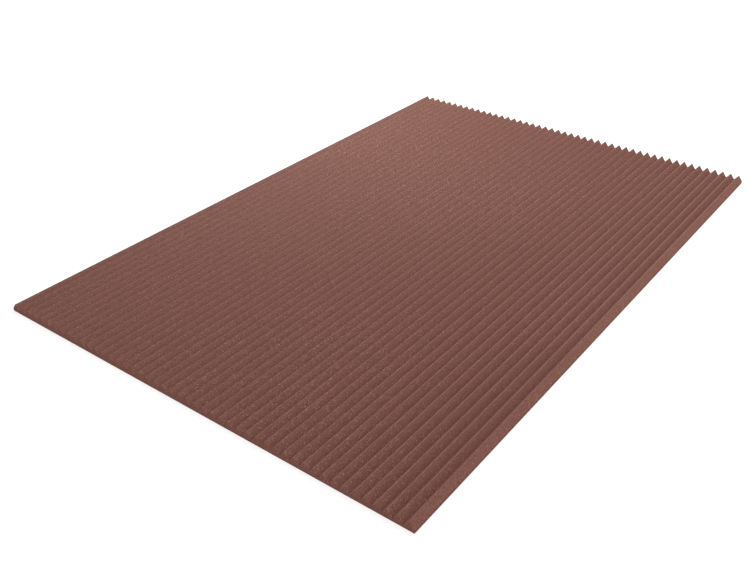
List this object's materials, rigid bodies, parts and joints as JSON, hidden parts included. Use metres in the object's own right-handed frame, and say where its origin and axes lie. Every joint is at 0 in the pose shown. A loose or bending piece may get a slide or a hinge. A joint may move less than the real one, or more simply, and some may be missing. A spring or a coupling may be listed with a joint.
{
  "type": "acoustic foam panel",
  "caption": "Flat sheet of soft foam with straight V-shaped ridges across its whole face and a flat back, for lining walls and ceilings to absorb sound.",
  "frame": {"origin": "middle of the flat back face", "axes": "+X across the ridges, +Y along the ridges, +Z from the back towards the crests"},
  "size_m": [1.2192, 1.8288, 0.0229],
  "materials": {
    "foam": "matt open-cell foam, reddish brown, fine grain with sparse pale specks"
  },
  "bodies": {
    "root": {"foam_panel": "foam"}
  },
  "joints": []
}
